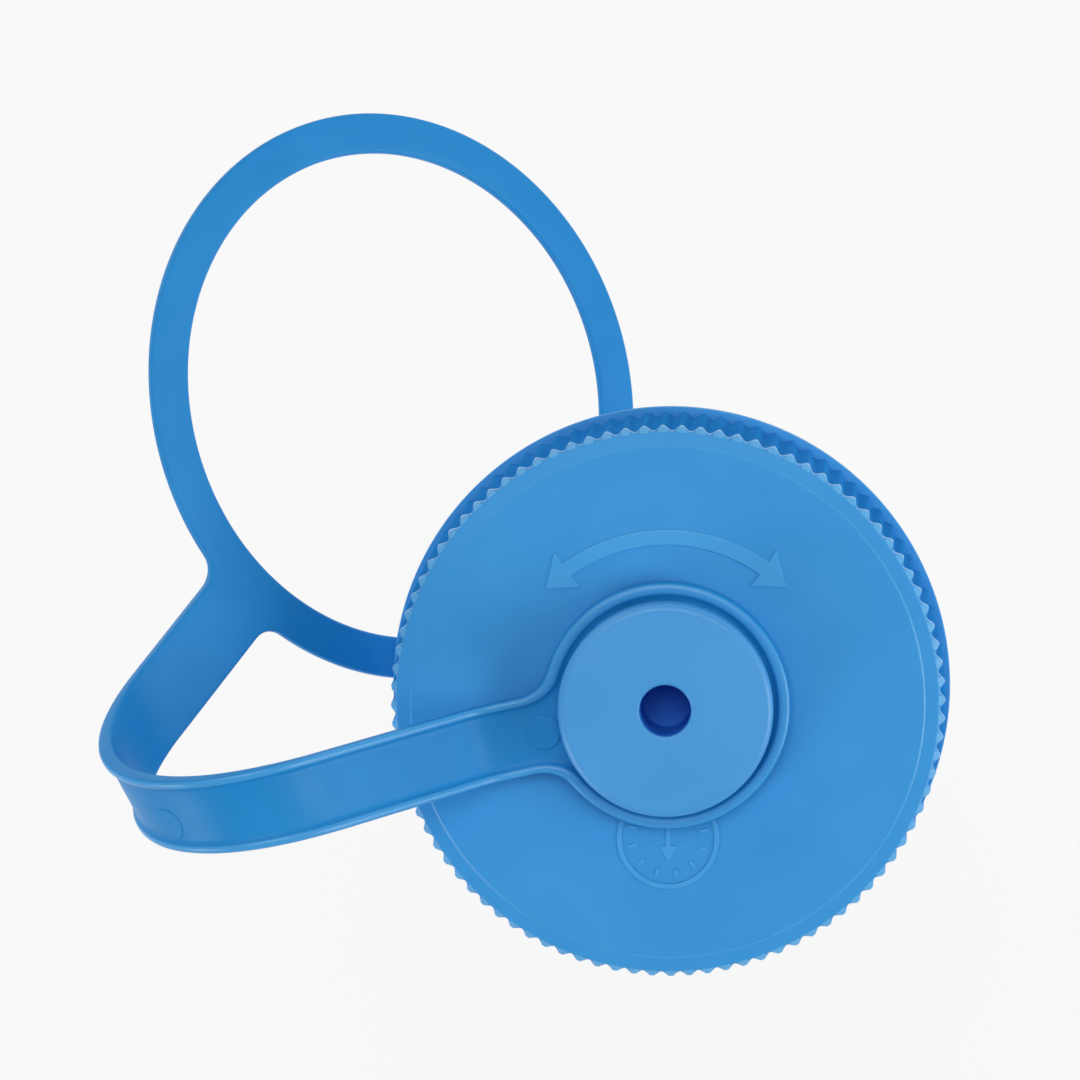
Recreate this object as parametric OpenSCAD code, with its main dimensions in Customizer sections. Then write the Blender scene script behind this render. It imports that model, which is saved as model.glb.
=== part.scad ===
// Loop-top screw cap: a ribbed wide-mouth closure, its retaining button, and the
// one-piece tether that swivels on the button and ends in a loop for the bottle's neck.
// Millimetres. Origin at the centre of the rim, +Z out of the flat face, strap along -X.

/* [Cap] */
// Height from the rim to the flat face
cap_h = 22; // [19:0.5:28]
// Diameter of the plain band at the rim
rim_d = 71; // [70:0.5:78]
// Height of the plain band at the rim
rim_h = 2.6; // [1.5:0.1:5]
// Radius over the ribs beside the flat face
tip_r_top = 34; // [33.6:0.1:34.8]
// Radius over the ribs where they meet the rim band
tip_r_low = 35; // [34.4:0.1:35.3]
// Number of grip ribs
ribs = 92; // [48:1:120]
// Depth of the grooves between the ribs
rib_depth = 0.72; // [0.4:0.02:0.9]
// Radius of the flat disc on the face
face_r = 31.3; // [26:0.1:32]
// Drop of the face from the flat disc to its edge
face_drop = 0.6; // [0.2:0.05:1.5]
// Thickness of the top
top_t = 2.2; // [1.6:0.1:3.5]

/* [Neck thread] */
// Radius of the wall behind the thread
bore_r = 31.8; // [31:0.1:32.2]
// Height of the thread's crest above the wall
thread_depth = 1; // [0.6:0.05:1.4]
// Rise of the thread in one turn
thread_pitch = 4.2; // [3:0.1:5]
// Turns of thread
thread_turns = 2.25; // [1:0.25:2.5]
// Height above the rim where the thread starts
thread_start = 3.4; // [3:0.1:4.5]
// Radius of the plain lead-in at the mouth
mouth_r = 32.5; // [32.3:0.1:32.9]
// Length of the plain lead-in
mouth_h = 2.8; // [1.5:0.1:2.9]
// Radius of the sealing ring under the top
seal_r = 27.6; // [24:0.1:28.5]
// Height of the sealing ring
seal_h = 2.4; // [1:0.1:4]
// Wall of the sealing ring
seal_t = 1.1; // [0.8:0.1:2]

/* [Button] */
// Diameter of the head
head_d = 26; // [22:0.5:30]
// Thickness of the head
head_t = 4; // [2.5:0.1:6]
// Diameter of the neck that the eyelet turns on
neck_d = 17; // [15:0.5:18.5]
// Diameter of the hole in the middle
hole_d = 6.2; // [4:0.1:7]
// Diameter of the post that the button is pressed on
post_d = 11; // [9.5:0.5:12.5]
// Height of the post above the face
post_h = 5.2; // [4:0.1:5.6]
// Depth of the hole in the post
post_hole = 7; // [4:0.1:7.5]

/* [Tether] */
// Thickness of the strap over its raised edges
strap_t = 1.9; // [1.6:0.1:2.4]
// Thickness of the web between the raised edges
web_t = 1.3; // [0.8:0.1:1.5]
// Width of the strap
strap_w = 9.6; // [8:0.1:12]
// Width of each raised edge
bead_w = 1.4; // [1:0.1:2.5]
// Diameter over the eyelet
eye_d = 30.6; // [28:0.2:33]
// Thickness of the eyelet
eye_t = 2.6; // [2.4:0.1:3]
// Distance from the cap's axis to the crease where the strap lifts
crease_s = 22.5; // [21:0.5:26]
// Length of the strap from the crease to the start of the bend
run_l = 23.7; // [20:0.1:34]
// Radius of the bend at rest, along the strap, beyond two fifths of the cap's height
bend_spare = 6.3; // [5:0.1:8]
// Length from the end of the bend to the centre of the neck loop
back_l = 55.5; // [53:0.1:70]
// Thickness of the neck loop
loop_t = 1.3; // [1:0.1:1.8]
// Outer radius of the neck loop
loop_r = 37.2; // [35.5:0.1:40]
// Inner radius of the neck loop
loop_bore_r = 32.1; // [29:0.1:33]

/* [Rest pose] */
// Rise of the strap at the crease
lift_deg = 41.5; // [25:1:50]
// Angle of the whole bend
bend_deg = 182; // [165:1:190]
// Skew of the bend across the strap
skew_deg = 17.1; // [8:0.5:20]
// Skew of the crease across the strap
crease_skew_deg = 3.5; // [0:0.5:15]

/* [Fits] */
// Running clearance on the radius between the eyelet and the button's neck
swivel_gap = 0.06; // [0.03:0.01:0.1]
// Clearance above and below the eyelet
eye_gap = 0.35; // [0.2:0.05:0.6]
// Gap round the knuckle between two segments of the strap
knuckle_gap = 0.25; // [0.15:0.05:0.4]

/* [Hidden] */
$fn = 96;
eps = 0.01;
FACE = [0.15, 0.46, 0.78];
DEEP = [0.11, 0.38, 0.70];

rim_r = rim_d / 2;
eye_z = cap_h + eye_gap;
head_z = eye_z + eye_t + eye_gap;
head_top = head_z + head_t;
knuckle_r = strap_t / 2;
strap_z = eye_z + eye_t - knuckle_r;
LINKS = 6;
HINGES = LINKS + 1;
bend_step = bend_deg / HINGES;
bend_r = 0.4 * cap_h + bend_spare;
link_l = bend_r * bend_deg * PI / 180 / HINGES;
bend_s = crease_s + run_l;
loop_s = bend_s + HINGES * link_l + back_l;

// Hinge 0 is the crease, and hinges 1 to HINGES share the bend
function hinge_s(k) = k == 0 ? crease_s : bend_s + (k - 0.5) * link_l;
function hinge_skew(k) = k == 0 ? crease_skew_deg : skew_deg;
function hinge_deg(k) = k == 0 ? -lift_deg : bend_step;
function hinge_dir(k) = [sin(hinge_skew(k)), -cos(hinge_skew(k)), 0];

// Moves flat tether geometry, which lies along -X at z = 0, to its place after hinge k
module after_hinge(k) {
    if (k < 0) translate([0, 0, strap_z]) children();
    else after_hinge(k - 1) translate([-hinge_s(k), 0, 0])
        rotate(a = hinge_deg(k), v = hinge_dir(k))
        translate([hinge_s(k), 0, 0]) children();
}

// A cylinder along hinge k, and everything on the loop's side of that hinge
module hinge_line(k, r, l = 3 * strap_w) {
    translate([-hinge_s(k), 0, 0]) rotate([0, 0, hinge_skew(k)])
        rotate([90, 0, 0]) cylinder(r = r, h = l, center = true);
}
module beyond_hinge(k, l = 4 * loop_s) {
    translate([-hinge_s(k), 0, 0]) rotate([0, 0, hinge_skew(k)])
        translate([-l, -l / 2, -l / 2]) cube([l, l, l]);
}

// Cap: ribbed skirt, rim band, top, thread, sealing ring and the button's post
module rib_star(tip_r) {
    step = 360 / ribs;
    polygon([for (i = [0 : ribs - 1], j = [0, 1])
        let (a = (i + j / 2) * step, r = tip_r - j * rib_depth) [r * cos(a), r * sin(a)]]);
}

module ribbed_skirt() {
    chamfer = 0.7;
    intersection() {
        linear_extrude(cap_h, scale = tip_r_top / tip_r_low) rib_star(tip_r_low);
        rotate_extrude() polygon([[0, 0], [rim_r, 0], [rim_r, cap_h - 8 * chamfer],
            [tip_r_top + 0.2, cap_h - face_drop - chamfer], [face_r, cap_h], [0, cap_h]]);
    }
}

module rim_band(edge = 0.4) {
    rotate_extrude() polygon([[0, 0], [rim_r - edge, 0], [rim_r, edge],
        [rim_r, rim_h - edge], [rim_r - edge, rim_h], [0, rim_h]]);
}

// The thread's helix, as short arcs that each sit a little higher than the last
module thread() {
    per_turn = 24;
    n = round(thread_turns * per_turn);
    base = thread_pitch * 0.36;
    crest = thread_pitch * 0.1;
    ramp = 3;
    for (i = [0 : n - 1]) {
        d = thread_depth * min(1, (i + 1) / ramp, (n - i) / ramp);
        rotate([0, 0, i * 360 / per_turn])
            translate([0, 0, thread_start + base + thread_pitch * i / per_turn])
            rotate_extrude(angle = 360 / per_turn + 0.5) polygon([[bore_r + 0.4, -base],
                [bore_r - d, -crest], [bore_r - d, crest], [bore_r + 0.4, base]]);
    }
}

// Raised marks on the face: a two-headed turning arrow and a ring of date ticks
module face_marks(h = 0.2) {
    mark_deg = 78;
    arrow_r = 20.4;
    arrow_w = 1.9;
    arrow_head = 5.4;
    half = 36;
    date_at = 16.6;
    date_r = 6.3;
    rotate([0, 0, mark_deg]) {
        rotate([0, 0, -half]) rotate_extrude(angle = 2 * half)
            translate([arrow_r - arrow_w / 2, 0]) square([arrow_w, h]);
        for (s = [-1, 1]) rotate([0, 0, s * half]) linear_extrude(h)
            polygon([[arrow_r - arrow_head / 2, 0], [arrow_r + arrow_head / 2, 0],
                     [arrow_r, s * arrow_head * 2 / 3]]);
    }
    rotate([0, 0, mark_deg + 180]) translate([date_at, 0, 0]) {
        difference() {
            cylinder(r = date_r, h = h);
            translate([0, 0, -eps]) cylinder(r = date_r - 0.6, h = h + 2 * eps);
        }
        for (i = [0 : 11]) rotate([0, 0, 30 * i])
            translate([date_r - 2.4, -0.22, 0]) cube([1.1, 0.44, h]);
    }
}

module cap_shell() color(FACE) {
    boss_r = post_d / 2 + 0.4;
    difference() {
        union() {
            ribbed_skirt();
            rim_band();
            translate([0, 0, cap_h - eps]) cylinder(d = post_d, h = post_h);
            translate([0, 0, cap_h - eps]) face_marks();
        }
        difference() {
            union() {
                translate([0, 0, -1]) cylinder(r = mouth_r, h = mouth_h + 1);
                cylinder(r = bore_r, h = cap_h - top_t);
            }
            translate([0, 0, cap_h - top_t - seal_h]) difference() {
                cylinder(r = seal_r, h = seal_h + 1);
                translate([0, 0, -1]) cylinder(r = seal_r - seal_t, h = seal_h + 3);
            }
            translate([0, 0, cap_h + post_h - post_hole - 2.2])
                cylinder(r = boss_r, h = post_hole);
        }
        translate([0, 0, cap_h + post_h - post_hole]) cylinder(d = hole_d, h = post_hole + 1);
    }
    thread();
}

// Button: pressed on the post, it holds the eyelet down and is the axle it turns on
module retaining_button() color(FACE) {
    edge = 0.9;
    rotate_extrude() difference() {
        union() {
            translate([0, cap_h]) square([neck_d / 2, head_z - cap_h + eps]);
            translate([0, head_z]) square([head_d / 2, head_t - edge]);
            translate([0, head_z]) square([head_d / 2 - edge, head_t]);
            translate([head_d / 2 - edge, head_top - edge]) circle(r = edge);
        }
        translate([-head_d, 0]) square([head_d, head_top + 1]);
        square([post_d / 2, cap_h + post_h]);
        square([hole_d / 2, head_top + 1]);
    }
}

// Flat strap between two places, with raised edges on its upper side
module flat_strap(s0, s1) {
    linear_extrude(web_t) translate([-s1, -strap_w / 2]) square([s1 - s0, strap_w]);
    for (s = [-1, 1]) linear_extrude(strap_t)
        translate([-s1, s * (strap_w - bead_w) / 2 - bead_w / 2]) square([s1 - s0, bead_w]);
}

// One rigid piece of the strap from hinge k, whose socket it has, to hinge k + 1
module strap_piece(k) {
    difference() {
        intersection() {
            union() {
                translate([0, 0, -knuckle_r]) difference() {
                    flat_strap(hinge_s(k) - strap_w, hinge_s(k + 1) + strap_w);
                    translate([0, 0, knuckle_r]) beyond_hinge(k + 1);
                }
                hinge_line(k + 1, knuckle_r);
            }
            translate([-loop_s, -strap_w / 2, -strap_t]) cube([loop_s, strap_w, 2 * strap_t]);
            beyond_hinge(k);
        }
        hinge_line(k, knuckle_r + knuckle_gap);
    }
}

module eyelet() color(FACE) {
    difference() {
        union() {
            translate([0, 0, eye_z]) cylinder(d = eye_d, h = eye_t);
            after_hinge(-1) {
                translate([0, 0, -knuckle_r]) difference() {
                    flat_strap(0, hinge_s(0) + strap_w);
                    translate([0, 0, knuckle_r]) beyond_hinge(0);
                }
                intersection() {
                    hinge_line(0, knuckle_r);
                    cube([2 * loop_s, strap_w, 2 * strap_t], center = true);
                }
            }
        }
        translate([0, 0, eye_z - 1]) cylinder(r = neck_d / 2 + swivel_gap, h = eye_t + 2);
        translate([0, 0, eye_z + eye_t - strap_t + web_t]) cylinder(r = eye_d / 2 - bead_w, h = eye_t);
    }
}

module strap_run() color(FACE) after_hinge(0) strap_piece(0);

module bend_link(k) color(FACE) after_hinge(k) strap_piece(k);

module neck_loop() color(DEEP) after_hinge(HINGES) {
    difference() {
        union() {
            translate([0, 0, -knuckle_r]) intersection() {
                flat_strap(hinge_s(HINGES) - strap_w, loop_s - (loop_r + loop_bore_r) / 2);
                translate([0, 0, knuckle_r]) beyond_hinge(HINGES);
            }
            translate([-loop_s, 0, -knuckle_r]) {
                cylinder(r = loop_r, h = loop_t);
                loop_fillets();
            }
        }
        hinge_line(HINGES, knuckle_r + knuckle_gap);
        translate([-loop_s, 0, -strap_t]) cylinder(r = loop_bore_r, h = 3 * strap_t);
    }
}

// Fillets of radius f where the strap meets the loop's outer edge, sunk a little into both
module loop_fillets(f = 4, sink = 0.05) {
    y = strap_w / 2 + f - sink;
    x = sqrt((loop_r + f - sink) * (loop_r + f - sink) - y * y);
    inner = (loop_r - 1) / (loop_r + f);
    for (s = [-1, 1]) linear_extrude(loop_t) difference() {
        polygon([[loop_r - 3, 0], [x, 0], [x, s * y], [inner * x, s * inner * y]]);
        translate([x, s * y]) circle(r = f);
    }
}

cap_shell();
retaining_button();
eyelet();
strap_run();
bend_link(1);  // bend_link_1
bend_link(2);  // bend_link_2
bend_link(3);  // bend_link_3
bend_link(4);  // bend_link_4
bend_link(5);  // bend_link_5
bend_link(6);  // bend_link_6
neck_loop();
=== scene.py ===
"""Looks of the loop-top screw cap.

A moulded cap, its button, and the one-piece tether, whose eyelet, strap run and loop ride with their bodies
while the crease and bend pieces keep their rest shape.
"""
import math

import bmesh
import bpy
import numpy as np
from mathutils import Matrix, Vector


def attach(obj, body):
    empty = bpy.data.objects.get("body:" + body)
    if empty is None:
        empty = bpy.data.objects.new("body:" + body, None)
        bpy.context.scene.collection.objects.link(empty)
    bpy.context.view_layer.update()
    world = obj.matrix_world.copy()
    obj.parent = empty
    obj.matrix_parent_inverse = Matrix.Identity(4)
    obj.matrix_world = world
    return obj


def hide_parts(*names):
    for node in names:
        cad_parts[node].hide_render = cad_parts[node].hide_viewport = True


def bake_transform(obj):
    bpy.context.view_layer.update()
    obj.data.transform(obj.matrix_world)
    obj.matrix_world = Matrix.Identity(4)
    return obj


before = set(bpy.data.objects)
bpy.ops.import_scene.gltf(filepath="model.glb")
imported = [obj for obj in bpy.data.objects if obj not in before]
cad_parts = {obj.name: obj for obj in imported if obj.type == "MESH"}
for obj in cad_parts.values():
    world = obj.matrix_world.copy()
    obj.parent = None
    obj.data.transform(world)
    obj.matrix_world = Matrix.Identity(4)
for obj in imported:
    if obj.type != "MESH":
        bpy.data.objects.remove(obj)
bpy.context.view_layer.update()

MM = 0.001

# Cap, in mm: heights are above the rim
CAP_H = 22.0
RIM_R = 35.5
RIM_H = 2.6
TIP_TOP = 34.0
TIP_LOW = 35.0
RIBS = 92
RIB_DEPTH = 0.72
FACE_R = 31.3
LINE_R = FACE_R + 0.25
TOP_T = 2.2
BORE_R = 31.8
MOUTH_R = 32.5
MOUTH_H = 2.8
SEAL_R = 27.6
SEAL_H = 2.4
SEAL_T = 1.1
THREAD_DEPTH = 1.0
THREAD_PITCH = 4.2
THREAD_TURNS = 2.25
THREAD_START = 3.4

# Button and the post that it is pressed on
HEAD_R = 13.0
HEAD_Z = 25.3
HEAD_T = 4.0
NECK_R = 8.5
HOLE_R = 3.1
POST_R = 5.5
POST_TOP = 27.2
HOLE_FLOOR = 20.2
BOSS_Z = 18.0

# Tether, flat: s runs along the strap from the cap's axis, y across it, z up from the bend's neutral plane
STRAP_Z = 24.0
HALF_W = 4.8
BOTTOM = -0.95
WEB = 0.35
BEAD_TOP = 0.95
EYE_R = 15.15
EYE_BORE = 8.56
EYE_BOTTOM = -1.65
CREASE_S = 22.5
CREASE_HALF = 2.6
BEND_S = 46.2
LINK_L = 6.852
LINKS = 7
LOOP_S = 149.665
LOOP_R = 37.2
LOOP_BORE = 31.9
EYE_FILLET = 4.5
LOOP_FILLET = 3.0

# Rest pose, in degrees
LIFT = 41.5
BEND = 182.0
CREASE_SKEW = 3.5
SKEW = 17.1


# ---------------------------------------------------------------- mesh helpers
def area_normals(verts, faces):
    """Vertex normals weighted by face area, so that flats stay flat beside small fillets."""
    normals = np.zeros_like(verts)
    for size in (3, 4):
        group = np.array([f for f in faces if len(f) == size], int)
        if not len(group):
            continue
        if size == 3:
            a, b = verts[group[:, 1]] - verts[group[:, 0]], verts[group[:, 2]] - verts[group[:, 0]]
        else:
            a, b = verts[group[:, 2]] - verts[group[:, 0]], verts[group[:, 3]] - verts[group[:, 1]]
        face_normal = np.cross(a, b)
        for corner in range(size):
            np.add.at(normals, group[:, corner], face_normal)
    length = np.linalg.norm(normals, axis=1, keepdims=True)
    return normals / np.maximum(length, 1e-12)


def new_piece(name, verts, faces, material, normals=None):
    """A smooth mesh object from points in mm."""
    mesh = bpy.data.meshes.new(name)
    mesh.from_pydata((np.asarray(verts) * MM).tolist(), [], [list(map(int, f)) for f in faces])
    mesh.polygons.foreach_set("use_smooth", [True] * len(mesh.polygons))
    if normals is None:
        normals = area_normals(np.asarray(verts, float), faces)
    mesh.normals_split_custom_set_from_vertices(np.asarray(normals).tolist())
    mesh.materials.append(material)
    piece = bpy.data.objects.new(name, mesh)
    bpy.context.scene.collection.objects.link(piece)
    return piece


def rounded(corners, closed=False, steps=5):
    """A profile from corners (r, z, fillet radius), with an arc in place of each corner."""
    points = []
    count = len(corners)
    for i, (r, z, fillet) in enumerate(corners):
        here = np.array([r, z], float)
        if fillet == 0 or (not closed and i in (0, count - 1)):
            points.append(here)
            continue
        before = np.array(corners[i - 1][:2], float) - here
        after = np.array(corners[(i + 1) % count][:2], float) - here
        before /= np.linalg.norm(before)
        after /= np.linalg.norm(after)
        half = math.acos(np.clip(before @ after, -1, 1)) / 2
        reach = fillet / math.tan(half)
        centre = here + (before + after) / np.linalg.norm(before + after) * fillet / math.sin(half)
        start, end = here + before * reach - centre, here + after * reach - centre
        sweep = math.pi - 2 * half
        for j in range(steps + 1):
            t = j / steps * sweep
            points.append(centre + (start * math.sin(sweep - t) + end * math.sin(t)) / math.sin(sweep))
    return np.array(points)


def grid_faces(rows, columns, wrap_rows=False):
    """Quads of a grid whose columns go round. Row 0 is the first row of the profile."""
    faces = []
    for i in range(rows if wrap_rows else rows - 1):
        low, high = i * columns, (i + 1) % rows * columns
        for j in range(columns):
            k = (j + 1) % columns
            faces.append((low + j, high + j, high + k, low + k))
    return faces


def lathe(profile, columns, shape=None, closed=False):
    """Points and faces of a turned solid.

    An open profile starts and ends on the axis. shape(r, z, angle) bends r.
    """
    inner = profile if closed else profile[1:-1]
    angle = np.arange(columns) * 2 * math.pi / columns
    r = np.repeat(inner[:, :1], columns, axis=1)
    z = np.repeat(inner[:, 1:], columns, axis=1)
    if shape:
        r = shape(r, z, np.broadcast_to(angle, r.shape))
    verts = np.stack([r * np.cos(angle), r * np.sin(angle), z], axis=-1).reshape(-1, 3)
    faces = grid_faces(len(inner), columns, wrap_rows=closed)
    if not closed:
        start, end = len(verts), len(verts) + 1
        verts = np.vstack([verts, [0, 0, profile[0, 1]], [0, 0, profile[-1, 1]]])
        last = (len(inner) - 1) * columns
        for j in range(columns):
            k = (j + 1) % columns
            faces.append((start, j, k))
            faces.append((end, last + k, last + j))
    return verts, outward(verts, faces)


def outward(verts, faces):
    """The faces of a closed skin, turned so that they all face outwards."""
    mesh = bpy.data.meshes.new("skin")
    mesh.from_pydata(np.asarray(verts).tolist(), [], faces)
    work = bmesh.new()
    work.from_mesh(mesh)
    bmesh.ops.recalc_face_normals(work, faces=work.faces)
    work.faces.ensure_lookup_table()
    turned = [[v.index for v in f.verts] for f in work.faces]
    work.free()
    bpy.data.meshes.remove(mesh)
    return turned


def smoothstep(x):
    x = np.clip(x, 0, 1)
    return x * x * (3 - 2 * x)


# ---------------------------------------------------------------- materials
def plastic(name, low, high, roughness=0.42, specular=0.3, rings=False):
    """Satin injection-moulded polypropylene with a cloudy colour and an orange-peel surface.

    rings adds faint turning marks round the part's z axis.
    """
    material = bpy.data.materials.new(name)
    material.use_nodes = True
    nodes, links = material.node_tree.nodes, material.node_tree.links
    shader = nodes["Principled BSDF"]
    shader.inputs["IOR"].default_value = 1.49
    shader.inputs["Specular IOR Level"].default_value = specular
    place = nodes.new("ShaderNodeTexCoord")

    cloud = nodes.new("ShaderNodeTexNoise")
    cloud.inputs["Scale"].default_value = 90
    cloud.inputs["Detail"].default_value = 3
    colour = nodes.new("ShaderNodeValToRGB")
    colour.color_ramp.elements[0].position = 0.3
    colour.color_ramp.elements[0].color = (*low, 1)
    colour.color_ramp.elements[1].position = 0.7
    colour.color_ramp.elements[1].color = (*high, 1)
    links.new(place.outputs["Object"], cloud.inputs["Vector"])
    links.new(cloud.outputs["Fac"], colour.inputs["Fac"])
    links.new(colour.outputs["Color"], shader.inputs["Base Color"])

    sheen = nodes.new("ShaderNodeTexNoise")
    sheen.inputs["Scale"].default_value = 260
    sheen.inputs["Detail"].default_value = 4
    gloss = nodes.new("ShaderNodeMapRange")
    gloss.inputs["To Min"].default_value = roughness - 0.05
    gloss.inputs["To Max"].default_value = roughness + 0.07
    links.new(place.outputs["Object"], sheen.inputs["Vector"])
    links.new(sheen.outputs["Fac"], gloss.inputs["Value"])
    links.new(gloss.outputs["Result"], shader.inputs["Roughness"])

    peel = nodes.new("ShaderNodeTexNoise")
    peel.inputs["Scale"].default_value = 1500
    peel.inputs["Detail"].default_value = 2
    bump = nodes.new("ShaderNodeBump")
    bump.inputs["Strength"].default_value = 0.25
    bump.inputs["Distance"].default_value = 0.00002
    links.new(place.outputs["Object"], peel.inputs["Vector"])
    links.new(peel.outputs["Fac"], bump.inputs["Height"])
    last = bump
    if rings:
        turned = nodes.new("ShaderNodeTexWave")
        turned.wave_type = "RINGS"
        turned.rings_direction = "Z"
        turned.inputs["Scale"].default_value = 110
        turned.inputs["Distortion"].default_value = 1.5
        turned.inputs["Detail"].default_value = 2
        ring_bump = nodes.new("ShaderNodeBump")
        ring_bump.inputs["Strength"].default_value = 0.15
        ring_bump.inputs["Distance"].default_value = 0.00002
        links.new(place.outputs["Object"], turned.inputs["Vector"])
        links.new(turned.outputs["Fac"], ring_bump.inputs["Height"])
        links.new(bump.outputs["Normal"], ring_bump.inputs["Normal"])
        last = ring_bump
    links.new(last.outputs["Normal"], shader.inputs["Normal"])
    return material


CAP_BLUE = plastic("cap_polypropylene", (0.044, 0.335, 0.765), (0.054, 0.360, 0.800), specular=0.25)
# Darker blue on the knurled grip: painted shade in the grooves. It is matt, with no specular, so the walls
# pick up no grey reflections
GRIP_SHADE_BLUE = plastic("cap_grip_walls_painted_shade", (0.018, 0.215, 0.600), (0.028, 0.245, 0.650), roughness=0.6, specular=0)
# Lighter blue on the bevel and the tooth tips: a painted highlight, on a real glossier finish
TIP_HIGHLIGHT_BLUE = plastic("cap_edges_painted_highlight", (0.110, 0.450, 0.850), (0.135, 0.475, 0.880),
                   roughness=0.3, specular=0.5)
# Darker blue inside the hole: painted shade in the recess
HOLE_SHADE_BLUE = plastic("hole_walls_painted_shade", (0.024, 0.200, 0.720), (0.032, 0.225, 0.760), roughness=0.5, specular=0.2)
# Lighter blue on the raised marks and on the step at the face's edge: a painted highlight for the reflection
# of the lamps, on a real glossier finish
MARK_HIGHLIGHT_BLUE = plastic("mark_painted_highlight", (0.065, 0.395, 0.820), (0.078, 0.415, 0.850), roughness=0.3)
BUTTON_BLUE = plastic("button_polypropylene", (0.064, 0.350, 0.770), (0.076, 0.372, 0.800), roughness=0.34,
                      specular=0.5, rings=True)
TETHER_BLUE = plastic("tether_polypropylene", (0.012, 0.258, 0.645), (0.019, 0.284, 0.685),
                      specular=0.25)
# Lighter blue on the tops of the tether's raised edges: a painted highlight, on a real glossier finish
BEAD_HIGHLIGHT_BLUE = plastic("tether_edge_painted_highlight", (0.050, 0.350, 0.760), (0.062, 0.375, 0.790),
                    roughness=0.3, specular=0.5)


# ---------------------------------------------------------------- cap
def thread_height(z, angle):
    """Height of the thread, 0 to 1, at a height and an angle on the wall."""
    base, crest = THREAD_PITCH * 0.36, THREAD_PITCH * 0.1
    ramp = THREAD_TURNS / 18
    height = np.zeros_like(z)
    for turn in range(math.ceil(THREAD_TURNS)):
        along = angle / (2 * math.pi) + turn
        off = np.abs(z - THREAD_START - base - THREAD_PITCH * along)
        ends = np.minimum(along, THREAD_TURNS - along) / ramp
        height = np.maximum(height, smoothstep((base - off) / (base - crest)) * np.clip(ends, 0, 1))
    return height


def cap_surface(r, z, angle):
    """Cuts the grip grooves into the outside, and raises the thread on the wall inside."""
    wave = (0.5 - 0.5 * np.cos(RIBS * angle)) ** 0.8
    floor = TIP_LOW + (TIP_TOP - TIP_LOW) * z / CAP_H - RIB_DEPTH * wave
    mouth = (z < MOUTH_H + 0.2) & (r < MOUTH_R + 0.1)
    outside = (r > FACE_R + 0.5) & (z > RIM_H - 0.01) & (r > BORE_R + 0.05) & ~mouth
    r = np.where(outside, np.minimum(r, floor), r)
    wall = np.abs(r - BORE_R) < 0.01
    return np.where(wall, r - THREAD_DEPTH * thread_height(z, angle), r)


def second_material(piece, material, where):
    """Gives another material to the faces whose middle (radius and height in mm) is where."""
    piece.data.materials.append(material)
    index = len(piece.data.materials) - 1
    for face in piece.data.polygons:
        x, y, z = face.center / MM
        if where(math.hypot(x, y), z):
            face.material_index = index


def make_cap():
    under = CAP_H - TOP_T
    boss_r = POST_R + 0.4
    wall_rows = [(BORE_R, z, 0) for z in np.arange(MOUTH_H + 0.3, under - 1.2, 0.3)]
    profile = rounded([
        (0, HOLE_FLOOR, 0), (HOLE_R, HOLE_FLOOR, 0.4), (HOLE_R, POST_TOP, 0.15), (POST_R, POST_TOP, 0.2),
        (POST_R, CAP_H, 0.1), (FACE_R, CAP_H, 0.12), (LINE_R, CAP_H - 0.14, 0.1), (33.1, CAP_H - 0.3, 0.3),
        (33.9, CAP_H - 0.95, 0.35), (TIP_TOP + 0.06, CAP_H - 1.8, 0.3), (TIP_TOP + 0.2, CAP_H - 3, 0),
        (TIP_LOW, RIM_H + 0.35, 0), (TIP_LOW, RIM_H + 0.01, 0), (TIP_LOW + 0.06, RIM_H, 0),
        (RIM_R, RIM_H, 0.25), (RIM_R, 0, 0.35), (MOUTH_R, 0, 0.3),
        (MOUTH_R, MOUTH_H, 0.15), (BORE_R, MOUTH_H, 0.12), *wall_rows, (BORE_R, under, 0.8),
        (SEAL_R, under, 0.3), (SEAL_R, under - SEAL_H, 0.3), (SEAL_R - SEAL_T, under - SEAL_H, 0.3),
        (SEAL_R - SEAL_T, under, 0.3), (boss_r, under, 0.5), (boss_r, BOSS_Z, 0.3), (0, BOSS_Z, 0)])
    verts, faces = lathe(profile, RIBS * 8, cap_surface)
    cap = new_piece("screw_cap", verts, faces, CAP_BLUE)
    groove_r = TIP_TOP - RIB_DEPTH
    # The knurled skirt gets the darker grip colour: painted shade in the grooves
    second_material(cap, GRIP_SHADE_BLUE, lambda r, z: r > groove_r - 0.3 and RIM_H + 0.1 < z < CAP_H - 1.2)
    # The walls of the hole in the post get the darker hole colour: painted shade in the recess
    second_material(cap, HOLE_SHADE_BLUE, lambda r, z: r < HOLE_R + 0.05 and z > BOSS_Z + 0.1)
    # The narrow step at the face's edge gets the lighter mark colour: a painted highlight along the edge line
    second_material(cap, MARK_HIGHLIGHT_BLUE, lambda r, z: FACE_R < r < LINE_R and CAP_H - 0.15 < z < CAP_H - 0.02)
    # The bevel and the tops of the teeth get the lighter tip colour: a painted highlight
    second_material(cap, TIP_HIGHLIGHT_BLUE, lambda r, z: r > groove_r + 0.1 and CAP_H - 1.6 < z < CAP_H - 0.2)
    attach(cap, "cap")
    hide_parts("cap_shell")


def make_button():
    top = HEAD_Z + HEAD_T
    foot, seat, socket = CAP_H + 0.02, POST_TOP + 0.02, POST_R + 0.03
    profile = rounded([
        (HOLE_R, seat, 0.05), (HOLE_R, top, 0.35), (HEAD_R, top, 0.9), (HEAD_R, HEAD_Z, 0.35),
        (NECK_R, HEAD_Z, 0.2), (NECK_R, foot, 0.1), (socket, foot, 0.1), (socket, seat, 0.1)], closed=True)
    verts, faces = lathe(profile, 224, closed=True)
    button = new_piece("button", verts, faces, BUTTON_BLUE)
    # The walls of the button's hole get the darker hole colour: painted shade in the recess
    second_material(button, HOLE_SHADE_BLUE, lambda r, z: r < HOLE_R + 0.05 and z < top - 0.2)
    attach(button, "cap")
    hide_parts("retaining_button")


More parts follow.
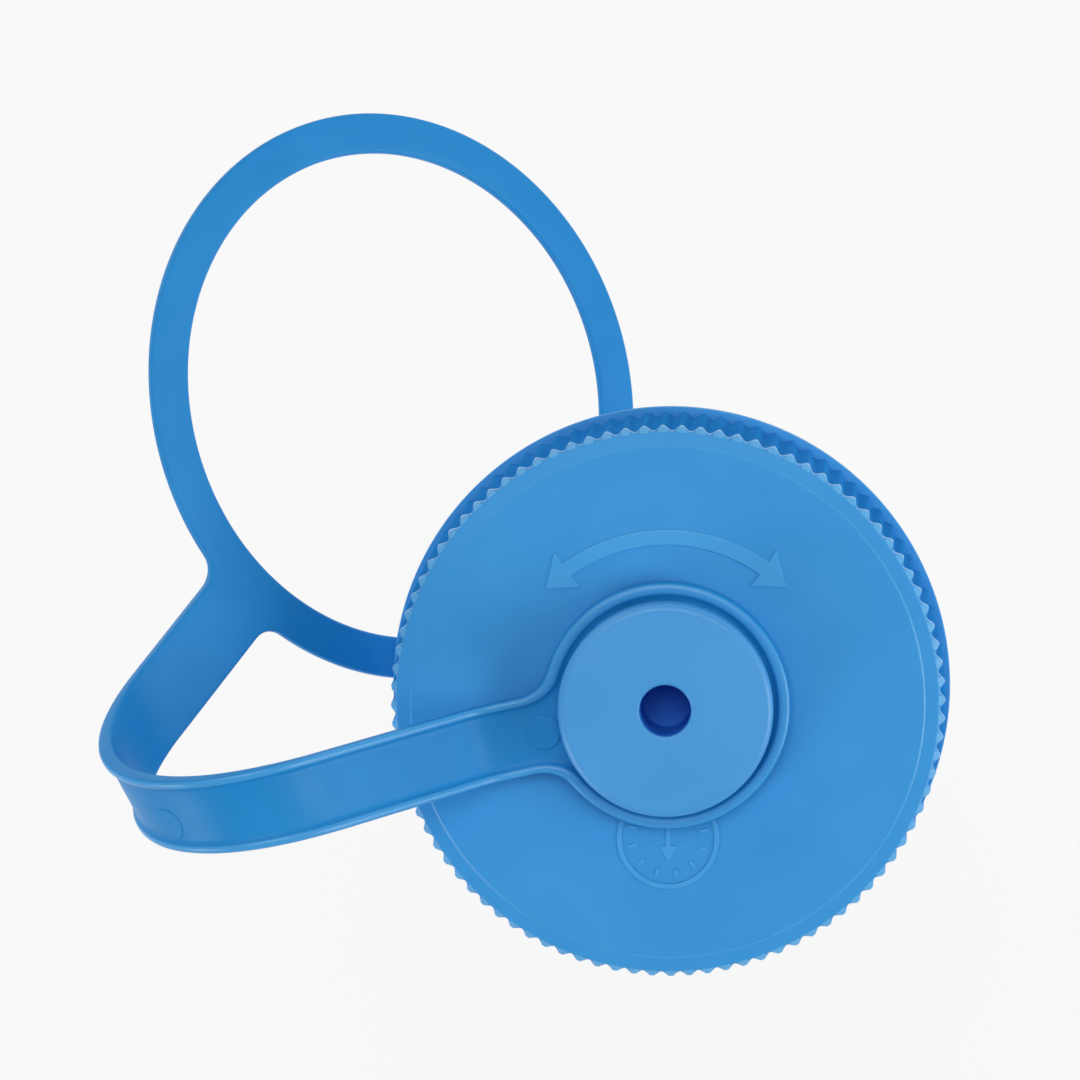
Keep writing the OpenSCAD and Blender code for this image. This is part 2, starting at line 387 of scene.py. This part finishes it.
def raised_mark(name, outline, height):
    """A low mark with sloped sides on the face, from an outline in mm that runs counterclockwise."""
    outline = np.asarray(outline, float)
    ahead, behind = np.roll(outline, -1, axis=0), np.roll(outline, 1, axis=0)
    tangent = ahead - behind
    tangent /= np.linalg.norm(tangent, axis=1, keepdims=True)
    inward = np.stack([-tangent[:, 1], tangent[:, 0]], axis=1)
    count = len(outline)
    levels = [(0, -0.05), (0, height * 0.4), (0.05, height * 0.85), (0.14, height)]
    verts = np.vstack([np.column_stack([outline + inward * d, np.full(count, CAP_H + z)]) for d, z in levels])
    faces = [(i, j, count * (k + 1) + (j - count * k), count * (k + 1) + (i - count * k))
             for k in range(len(levels) - 1)
             for i, j in ((count * k + n, count * k + (n + 1) % count) for n in range(count))]
    faces.append([count * (len(levels) - 1) + n for n in range(count)])
    mesh = bpy.data.meshes.new(name)
    mesh.from_pydata((verts * MM).tolist(), [], faces)
    # The lighter mark colour is a painted highlight
    mesh.materials.append(MARK_HIGHLIGHT_BLUE)
    mark = bpy.data.objects.new(name, mesh)
    bpy.context.scene.collection.objects.link(mark)
    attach(mark, "cap")


# Marks on the face, in mm. MARK_UP is the way they read upwards, in degrees, with the strap along 180
MARK_UP = 78
MARK_H = 0.16
TICK_H = 0.13
ARROW_R = 20.4
DATE_AT = 16.6
DATE_R = 6.3
DATE_W = 0.62


def polar(r, degrees):
    a = math.radians(degrees)
    return np.array([r * math.cos(a), r * math.sin(a)])


def make_face_marks():
    """A two-headed turning arrow over the hub, and a ring of date ticks with its pointer under it."""
    half, width, head, reach = 36, 1.9, 5.4, 10
    sweep = np.linspace(-half, half, 49)
    outer = [polar(ARROW_R + width / 2, MARK_UP + a) for a in sweep]
    inner = [polar(ARROW_R - width / 2, MARK_UP + a) for a in sweep[::-1]]
    head_plus = [polar(ARROW_R + head / 2, MARK_UP + half), polar(ARROW_R, MARK_UP + half + reach),
                 polar(ARROW_R - head / 2, MARK_UP + half)]
    head_minus = [polar(ARROW_R - head / 2, MARK_UP - half), polar(ARROW_R, MARK_UP - half - reach),
                  polar(ARROW_R + head / 2, MARK_UP - half)]
    raised_mark("turn_arrow", outer + head_plus + inner + head_minus, MARK_H)

    centre = polar(DATE_AT, MARK_UP + 180)
    root, crest = CAP_H - 0.05, CAP_H + MARK_H
    ring = rounded([(DATE_R, root, 0), (DATE_R, crest, 0.06), (DATE_R - DATE_W, crest, 0.06),
                    (DATE_R - DATE_W, root, 0)], closed=True, steps=3)
    verts, faces = lathe(ring[::-1], 96, closed=True)
    # The lighter mark colour is a painted highlight
    date_ring = new_piece("date_ring", verts + [*centre, 0], faces, MARK_HIGHLIGHT_BLUE)
    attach(date_ring, "cap")
    tick = ((3.9, -0.22), (5.0, -0.22), (5.0, 0.22), (3.9, 0.22))
    for i in range(12):
        turn = 30 * i
        along, across = polar(1, turn), polar(1, turn + 90)
        raised_mark(f"date_tick_{i + 1}", [centre + along * a + across * b for a, b in tick], TICK_H)
    down, side = polar(1, MARK_UP + 180), polar(1, MARK_UP + 270)
    pointer = [(-2.4, -0.3), (1.0, -0.3), (1.0, -1.1), (2.9, 0), (1.0, 1.1), (1.0, 0.3), (-2.4, 0.3)]
    raised_mark("date_pointer", [centre + down * a + side * b for a, b in pointer], TICK_H)


# ---------------------------------------------------------------- tether
def hinges():
    """(s, skew, turn, half length across the hinge line) of each bending zone, from the eyelet outwards."""
    crease = [(CREASE_S, CREASE_SKEW, -LIFT, CREASE_HALF)]
    half = LINK_L / 2 * math.cos(math.radians(SKEW))
    return crease + [(BEND_S + (k + 0.5) * LINK_L, SKEW, BEND / LINKS, half) for k in range(LINKS)]


def hinge_axes(s, skew):
    """A hinge's middle, its direction along the hinge line, and the way on along the strap."""
    sine, cosine = math.sin(math.radians(skew)), math.cos(math.radians(skew))
    return np.array([-s, 0, 0]), np.array([sine, -cosine, 0]), np.array([-cosine, -sine, 0])


def bent(flat):
    """Flat tether points, as x = -s, y and z, at their place in the rest pose."""
    flat = np.asarray(flat, float)
    out = flat.copy()
    up = np.array([0, 0, 1.0])
    for s, skew, turn, half in reversed(hinges()):
        middle, along, onward = hinge_axes(s, skew)
        q = (flat - middle) @ onward
        angle = math.radians(turn)
        rotation = np.array(Matrix.Rotation(angle, 3, Vector(along)))
        beyond = q > half
        out[beyond] = (out[beyond] - middle) @ rotation.T + middle
        inside = np.abs(q) <= half
        radius = half / math.tan(angle / 2)
        theta = ((q[inside] + half) / (2 * half) * angle)[:, None]
        local = flat[inside] - middle
        out[inside] = (middle - half * onward + radius * np.sin(theta) * onward
                       - radius * (1 - np.cos(theta)) * up + (local @ along)[:, None] * along
                       + local[:, 2:] * (np.cos(theta) * up + np.sin(theta) * onward))
    out[:, 2] += STRAP_Z
    return out


def zone_ends(k):
    """Both ends of bending zone k in the rest pose, in metres, taken just inside the zone."""
    s, skew, _, half = hinges()[k]
    middle, _, onward = hinge_axes(s, skew)
    return bent([middle - onward * (half - 1e-6), middle + onward * (half - 1e-6)]) * MM


# Edge of the tether as (inset from the outline, height): bottom, side and top, over the raised edge or plain
EDGE_LOW = [(1.95, BOTTOM), (0.45, BOTTOM), (0.2, -0.88), (0.06, -0.74), (0, -0.52)]
EDGE_BEAD = [*EDGE_LOW, (0, 0.3), (0.05, 0.62), (0.17, 0.82), (0.36, 0.93), (0.58, BEAD_TOP), (0.8, 0.93),
             (1.0, 0.83), (1.15, 0.66), (1.27, 0.5), (1.42, 0.4), (1.62, WEB), (1.95, WEB)]
EDGE_PLAIN = [*EDGE_LOW, (0, -0.1), (0.03, 0.06), (0.12, 0.2), (0.27, 0.31), (0.45, WEB), (0.7, WEB),
              (0.9, WEB), (1.1, WEB), (1.27, WEB), (1.42, WEB), (1.62, WEB), (1.95, WEB)]
CHAIN = len(EDGE_BEAD)
INSET = EDGE_BEAD[0][0]
# Quads across the strap between its edges
ACROSS = 8
# Height above which the raised edge gets a lighter, glossier colour: a painted highlight on a real glossier
# finish
BEAD_HIGHLIGHT_FROM = 0.8
# Points along each fillet of an eyelet or loop
FILLET_POINTS = 15


class Tether:
    """Collects the flat tether as one skin, and which piece each of its faces belongs to."""

    def __init__(self):
        self.verts, self.faces, self.owner = [], [], []

    def add(self, points):
        start = len(self.verts)
        self.verts.extend(points)
        return list(range(start, start + len(points)))

    def quads(self, a, b, piece, closed=False):
        """Faces between two lists of points of the same length."""
        count = len(a)
        for i in range(count if closed else count - 1):
            j = (i + 1) % count
            self.faces.append((a[i], b[i], b[j], a[j]))
            self.owner.append(piece)


def strap_row(tether, s, skew):
    """A closed row round the strap along a ruling line: upper edge, top web, lower edge, bottom web."""
    lean = math.tan(math.radians(skew))
    points = []
    web_y = np.linspace(HALF_W - INSET, INSET - HALF_W, ACROSS + 1)[1:-1]
    points += [(HALF_W - d, z) for d, z in EDGE_BEAD]
    points += [(y, WEB) for y in web_y]
    points += [(d - HALF_W, z) for d, z in reversed(EDGE_BEAD)]
    points += [(y, BOTTOM) for y in reversed(web_y)]
    return tether.add([(-(s + y * lean), y, z) for y, z in points])


def split_row(row):
    """The row's upper edge, top web, lower edge and bottom web."""
    inner = ACROSS - 1
    upper, top = row[:CHAIN], row[CHAIN:CHAIN + inner]
    lower = row[CHAIN + inner:2 * CHAIN + inner]
    return upper, top, lower, row[2 * CHAIN + inner:]


def arc(centre, radius, start, end, count):
    """Points (x, y) and outward directions along an arc, ends included, in degrees."""
    angles = np.radians(np.linspace(start, end, count))
    out = np.column_stack([np.cos(angles), np.sin(angles)])
    return np.asarray(centre) + radius * out, out


def head_outline(centre_x, radius, fillet, toward, count):
    """The tether's outline round an eyelet or loop, from the strap's one edge to its other.

    Gives points, inward directions, and how far each point is along its fillet from the strap, 0 to 1.
    toward is the strap's side, 1 or -1 in x.
    """
    reach = math.sqrt((radius + fillet) ** 2 - (HALF_W + fillet) ** 2)
    lean = math.degrees(math.asin((HALF_W + fillet) / (radius + fillet)))
    half_points, half_inward, share = [], [], []
    points, out = arc((reach, HALF_W + fillet), fillet, -90, -180 + lean, FILLET_POINTS)
    half_points.append(points)
    half_inward.append(out)
    share.append(np.linspace(0, 1, FILLET_POINTS))
    points, out = arc((0, 0), radius, lean, 180, count)
    half_points.append(points[1:])
    half_inward.append(-out[1:])
    share.append(np.ones(count - 1))
    points, inward, share = np.vstack(half_points), np.vstack(half_inward), np.concatenate(share)
    points = np.vstack([points, points[-2::-1] * [1, -1]])
    inward = np.vstack([inward, inward[-2::-1] * [1, -1]])
    share = np.concatenate([share, share[-2::-1]])
    flip = np.array([toward, 1])
    return points * flip + [centre_x, 0], inward * flip, share


def add_head(tether, root, piece, centre_x, radius, bore, toward, fillet, count, bottom_at, fade, lip, widen):
    """Adds an eyelet or loop beyond the strap row root.

    The outline's edge is swept round it, and the faces between that edge and the bore are rings of quads.
    fade flattens the raised edge along the fillets, widen broadens it beyond them, and lip rounds the bore.
    """
    points, inward, share = head_outline(centre_x, radius, fillet, toward, count)
    upper, top, lower, bottom = split_row(root)
    chains = [upper]
    for point, direction, along in zip(points, inward, share):
        raised = 1 - smoothstep(along) if fade else 1.0
        chain = []
        for (d1, z1), (d0, z0) in zip(EDGE_BEAD, EDGE_PLAIN):
            d, z = (d0 + (d1 - d0) * raised) * (1 + widen * smoothstep(along)), z0 + (z1 - z0) * raised
            x, y = point + direction * d
            if z < -0.2:
                z += bottom_at(math.hypot(x - centre_x, y)) - BOTTOM
            chain.append((x, y, z))
        chains.append(tether.add(chain))
    chains.append(lower[::-1])
    for one, two in zip(chains, chains[1:]):
        tether.quads(one, two, piece)
    top_loop = [chain[-1] for chain in chains] + list(reversed(top))
    bottom_loop = [chain[0] for chain in chains] + list(bottom)
    middle = np.array([centre_x, 0])
    around = [np.array(tether.verts[i][:2]) - middle for i in top_loop]
    unit = [v / np.linalg.norm(v) for v in around]

    def between(edge, share_in, height_at):
        """A ring of points part of the way from an edge in to the bore."""
        ring = []
        for i, u in zip(edge, unit):
            far = np.array(tether.verts[i][:2]) - middle
            x, y = middle + far * (1 - share_in) + u * (bore + lip) * share_in
            ring.append((x, y, height_at(math.hypot(x - centre_x, y))))
        return tether.add(ring)

    floor = bottom_at(bore)
    loops = [(lip, WEB), (lip * 0.5, WEB - lip * 0.13), (lip * 0.13, WEB - lip * 0.5), (0, WEB - lip),
             (0, floor + lip), (lip * 0.13, floor + lip * 0.5), (lip * 0.5, floor + lip * 0.13), (lip, floor)]
    rings = [top_loop]
    for share_in in (0.34, 0.67):
        rings.append(between(top_loop, share_in, lambda r: WEB))
    for out, z in loops:
        rings.append(tether.add([(*(middle + u * (bore + out)), z) for u in unit]))
    for share_in in (0.67, 0.34):
        rings.append(between(bottom_loop, share_in, bottom_at))
    rings.append(bottom_loop)
    for one, two in zip(rings, rings[1:]):
        tether.quads(one, two, piece, closed=True)


def eyelet_bottom(r):
    """The eyelet is thicker than the strap, and its underside ramps up to the strap's."""
    return EYE_BOTTOM + (BOTTOM - EYE_BOTTOM) * float(smoothstep((r - EYE_R) / 2.3))


def make_tether():
    tether = Tether()
    crease_reach = CREASE_HALF / math.cos(math.radians(CREASE_SKEW))
    stops = [(CREASE_S - crease_reach, CREASE_SKEW, None, 0),
             (CREASE_S + crease_reach, CREASE_SKEW, "crease", 16),
             (BEND_S, SKEW, "run", 36)]
    stops += [(BEND_S + (k + 1) * LINK_L, SKEW, f"bend_{k + 1}", 12) for k in range(LINKS)]
    fillet_reach = math.sqrt((LOOP_R + LOOP_FILLET) ** 2 - (HALF_W + LOOP_FILLET) ** 2)
    stops.append((LOOP_S - fillet_reach - 0.6, 0, "loop", 18))
    first = row = strap_row(tether, *stops[0][:2])
    for (s0, skew0, _, _), (s1, skew1, piece, rows) in zip(stops, stops[1:]):
        for i in range(1, rows + 1):
            t = i / rows
            ahead = strap_row(tether, s0 + (s1 - s0) * t, skew0 + (skew1 - skew0) * t)
            tether.quads(row, ahead, piece, closed=True)
            row = ahead
    add_head(tether, first, "eyelet", centre_x=0, radius=EYE_R, bore=EYE_BORE, toward=-1,
             fillet=EYE_FILLET, count=110, bottom_at=eyelet_bottom, fade=False, lip=0.15, widen=0.4)
    add_head(tether, row, "loop", centre_x=-LOOP_S, radius=LOOP_R, bore=LOOP_BORE, toward=1,
             fillet=LOOP_FILLET, count=150, bottom_at=lambda r: BOTTOM, fade=True, lip=0.45, widen=0)
    flat = np.array(tether.verts, float)
    verts = bent(flat)
    faces = outward(tether.verts, tether.faces)
    normals = area_normals(verts, faces)
    owner = np.array(tether.owner)
    bodies = {"eyelet": "eyelet", "run": "strap", "loop": "loop"}
    nodes = {"eyelet": "eyelet", "run": "strap_run", "loop": "neck_loop",
             **{f"bend_{k}": f"bend_link_{k}" for k in range(1, LINKS)}}
    zones = ["crease"] + [f"bend_{k + 1}" for k in range(LINKS)]
    for name in ["eyelet", "crease", "run", *zones[1:], "loop"]:
        mine = [faces[i] for i in np.flatnonzero(owner == name)]
        used, local = np.unique(np.array(mine).ravel(), return_inverse=True)
        piece = new_piece(f"tether_{name}", verts[used], local.reshape(-1, 4), TETHER_BLUE, normals[used])
        # Faces on top of the raised edge get the lighter bead colour: a painted highlight
        piece.data.materials.append(BEAD_HIGHLIGHT_BLUE)
        for i, face in enumerate(mine):
            piece.data.polygons[i].material_index = int(flat[face, 2].mean() > BEAD_HIGHLIGHT_FROM)
        if name in bodies:
            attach(piece, bodies[name])
        else:
            k = zones.index(name)
            start, end = zone_ends(k)
            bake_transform(piece)
        if name in nodes:
            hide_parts(nodes[name])


def make_ejector_marks():
    """The low round marks of the mould's pins: one beside the button, and one on the outside of the bend."""
    sides, top_z = 40, WEB + 0.12
    for name, s, y, radius in (("pin_mark_hub", 15.3, 0.0, 2.15), ("pin_mark_bend", 67.6, -1.5, 2.2)):
        turns = np.arange(sides) * 2 * math.pi / sides
        rings = [(radius, WEB - 0.08), (radius, WEB + 0.05), (radius - 0.08, WEB + 0.11),
                 (radius - 0.2, top_z), (radius * 0.6, top_z), (radius * 0.3, top_z)]
        flat = np.vstack([np.column_stack([-s + r * np.cos(turns), y + r * np.sin(turns), np.full(sides, z)])
                          for r, z in rings] + [[[-s, y, top_z]]])
        faces = [f[::-1] for f in grid_faces(len(rings), sides)]
        last = (len(rings) - 1) * sides
        faces += [(last + (j + 1) % sides, len(flat) - 1, last + j) for j in range(sides)]
        verts = bent(flat)
        middle = np.array([flat[list(f)].mean(axis=0) for f in faces])
        ruling = (-middle[:, 0] - middle[:, 1] * math.tan(math.radians(SKEW)) - BEND_S) / LINK_L
        zone = np.floor(ruling).astype(int) if s > BEND_S else np.full(len(faces), -1)
        normals = area_normals(verts, faces)
        for k in sorted(set(zone)):
            mine = [faces[i] for i in np.flatnonzero(zone == k)]
            used = sorted({v for f in mine for v in f})
            place = {v: i for i, v in enumerate(used)}
            local = [[place[v] for v in f] for f in mine]
            full_name = name if k < 0 else f"{name}_{k + 1}"
            piece = new_piece(full_name, verts[used], local, TETHER_BLUE, normals[used])
            if k < 0:
                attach(piece, "eyelet")
                continue
            start, end = zone_ends(k + 1)
            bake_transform(piece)


# ---------------------------------------------------------------- set
def make_camera():
    """The view square on the face, from a little off the cap's axis, with the strap to the left."""
    distance, elevation, azimuth, up_turn = 0.44936, 84.358, 39.97, 77.28
    aim = Vector((-0.01072, 0.02292, 0.022))
    el, az = math.radians(elevation), math.radians(azimuth)
    offset = Vector((math.cos(el) * math.cos(az), math.cos(el) * math.sin(az), math.sin(el))) * distance
    forward = -offset.normalized()
    right = forward.cross(Vector((*polar(1, up_turn), 0))).normalized()
    up = right.cross(forward)
    data = bpy.data.cameras.new("camera")
    data.lens = 122.69
    data.clip_end = 10
    camera = bpy.data.objects.new("camera", data)
    turn = Matrix((right, up, -forward)).transposed().to_4x4()
    camera.matrix_world = Matrix.Translation(aim + offset) @ turn
    bpy.context.scene.collection.objects.link(camera)
    bpy.context.scene.camera = camera


def soft_light(name, place, aim, size, power):
    data = bpy.data.lights.new(name, "AREA")
    data.shape = "RECTANGLE"
    data.size, data.size_y = size
    data.energy = power
    light = bpy.data.objects.new(name, data)
    light.location = place
    light.rotation_euler = (Vector(aim) - Vector(place)).to_track_quat("-Z", "Y").to_euler()
    bpy.context.scene.collection.objects.link(light)


def make_set():
    scene = bpy.context.scene
    scene.view_settings.view_transform = "Standard"
    world = bpy.data.worlds.new("studio")
    world.use_nodes = True
    world.node_tree.nodes["Background"].inputs["Color"].default_value = (0.95, 0.97, 1, 1)
    world.node_tree.nodes["Background"].inputs["Strength"].default_value = 0.26
    scene.world = world

    floor_mesh = bpy.data.meshes.new("floor")
    side, level = 3.0, -0.14
    corners = [(-side, -side, level), (side, -side, level), (side, side, level), (-side, side, level)]
    floor_mesh.from_pydata(corners, [], [(0, 1, 2, 3)])
    floor = bpy.data.objects.new("floor", floor_mesh)
    scene.collection.objects.link(floor)
    paper = bpy.data.materials.new("floor_paper")
    paper.use_nodes = True
    lit = paper.node_tree.nodes["Principled BSDF"]
    lit.inputs["Base Color"].default_value = (0.16, 0.16, 0.16, 1)
    lit.inputs["Roughness"].default_value = 1
    lit.inputs["Specular IOR Level"].default_value = 0
    lit.inputs["Emission Color"].default_value = (1, 1, 1, 1)
    lit.inputs["Emission Strength"].default_value = 0.815
    floor_mesh.materials.append(paper)

    aim = (-0.01, 0.01, 0.02)
    soft_light("key", (0.05, 0.4, 1.0), aim, (0.6, 0.5), 3.0)
    soft_light("fill", (0.85, -0.3, 0.5), aim, (0.6, 0.6), 5.0)
    soft_light("left", (-0.85, -0.35, 0.45), aim, (0.5, 0.5), 3.2)
    soft_light("edge_top", (-0.3, 0.85, 0.32), aim, (0.9, 0.22), 1.3)


make_camera()
make_cap()
make_button()
make_face_marks()
make_tether()
make_ejector_marks()
make_set()
